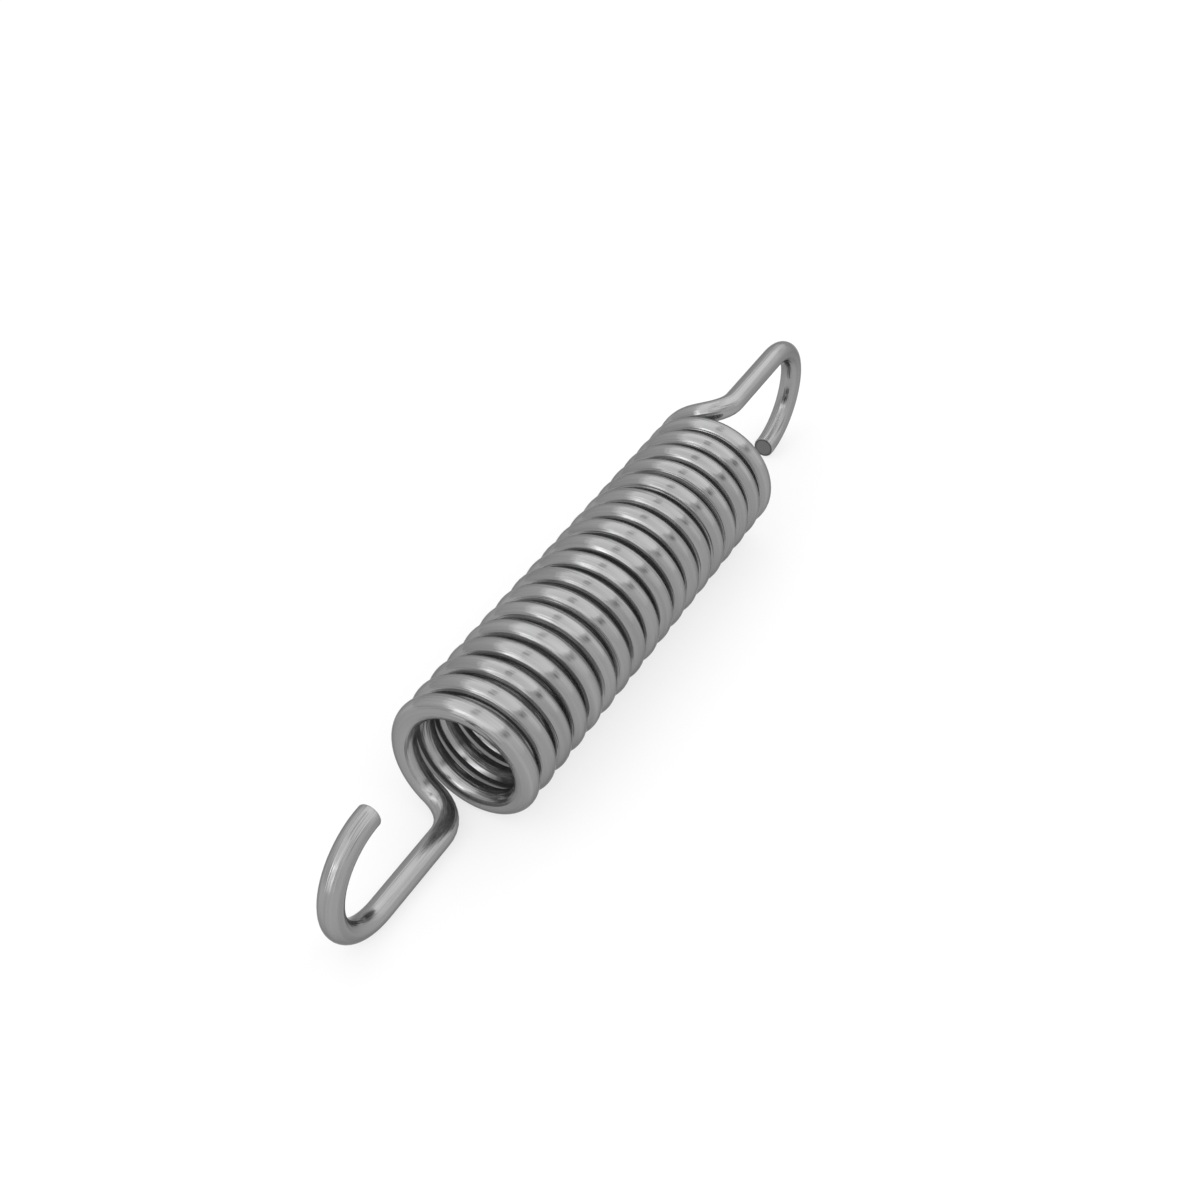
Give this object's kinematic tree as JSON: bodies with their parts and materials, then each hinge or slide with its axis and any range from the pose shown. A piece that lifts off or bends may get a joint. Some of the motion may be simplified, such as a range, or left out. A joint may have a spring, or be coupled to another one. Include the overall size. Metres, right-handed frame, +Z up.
{
  "type": "extension spring",
  "caption": "Extension spring of round steel wire in an almost closed coil, with an extended open hook at each end whose legs stand on opposite sides.",
  "frame": {"origin": "under the middle of the coil, on the plane that the spring lies on", "axes": "+X along the coil's axis, from the hook whose leg is at the bottom to the hook whose leg is at the top; +Z up; both hooks lie in the XZ plane"},
  "size_m": [0.0784, 0.0126, 0.0125],
  "materials": {
    "spring_wire": "bright drawn steel wire, half polished"
  },
  "bodies": {
    "root": {"spring": "spring_wire"}
  },
  "joints": []
}
